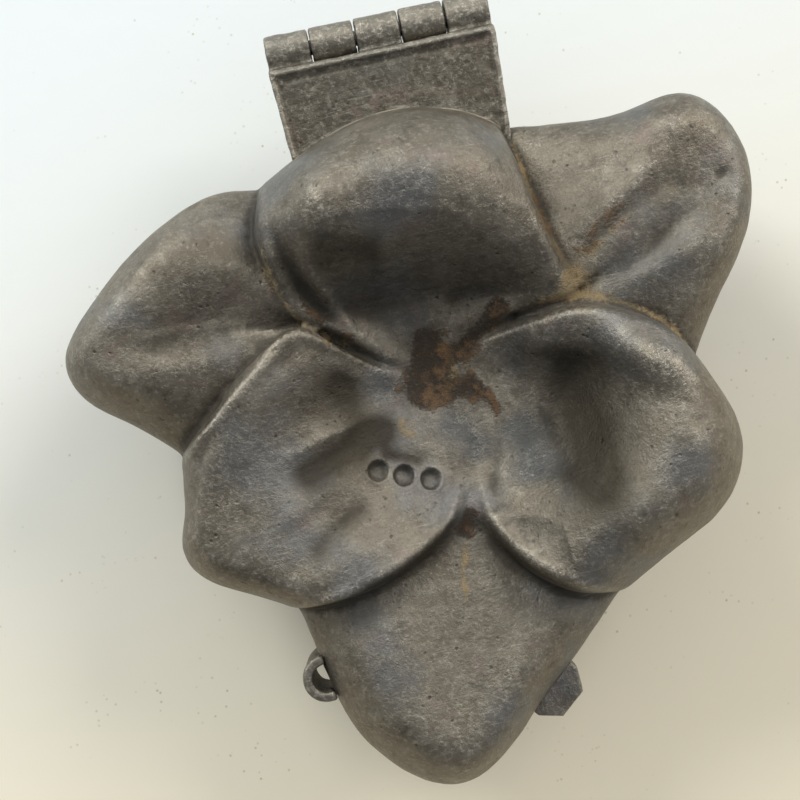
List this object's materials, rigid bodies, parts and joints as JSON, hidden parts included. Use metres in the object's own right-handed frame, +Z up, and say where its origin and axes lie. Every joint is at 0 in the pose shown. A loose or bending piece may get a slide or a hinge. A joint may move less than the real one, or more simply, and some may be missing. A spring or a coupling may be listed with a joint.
{
  "type": "chocolate mold",
  "caption": "Hinged two-part cast metal mold shaped as an open lily, with a loose-pin hinge, closing tabs and a guide ear; opens flat to fill and to release.",
  "frame": {"origin": "centre of the flat foot's face on the back half, where the closed mold stands", "axes": "+Z up, from the foot to the flower's face; +Y towards the hinge; +X along the hinge pin; the halves meet in the plane 22 mm over the foot"},
  "size_m": [0.1021, 0.1111, 0.0423],
  "materials": {
    "shell_pewter": "cast pewter, dark and mottled, worn bright on the crests",
    "hinge_pewter": "cast pewter plate, rubbed, darker at the soldered root",
    "tab_pewter": "cast pewter, dark in the corners",
    "ear_pewter": "bent pewter strip, dark inside",
    "pin_steel": "plain steel wire, dull"
  },
  "bodies": {
    "back_half": {"back_shell": "shell_pewter", "back_hinge_leaf": "hinge_pewter", "back_closing_tab": "tab_pewter", "back_guide_ear": "ear_pewter"},
    "front_half": {"front_shell": "shell_pewter", "front_hinge_leaf": "hinge_pewter", "front_closing_tab": "tab_pewter"},
    "hinge_pin": {"hinge_pin": "pin_steel"}
  },
  "joints": [
    {"name": "hinge", "type": "hinge", "parent": "back_half", "child": "front_half", "pos_m": [0, 0.0506, 0.022], "axis": [-1, 0, 0], "range_deg": [0, 180]},
    {"name": "pin_slide", "type": "slide", "parent": "back_half", "child": "hinge_pin", "axis": [1, 0, 0], "range_m": [0, 0.034]}
  ]
}
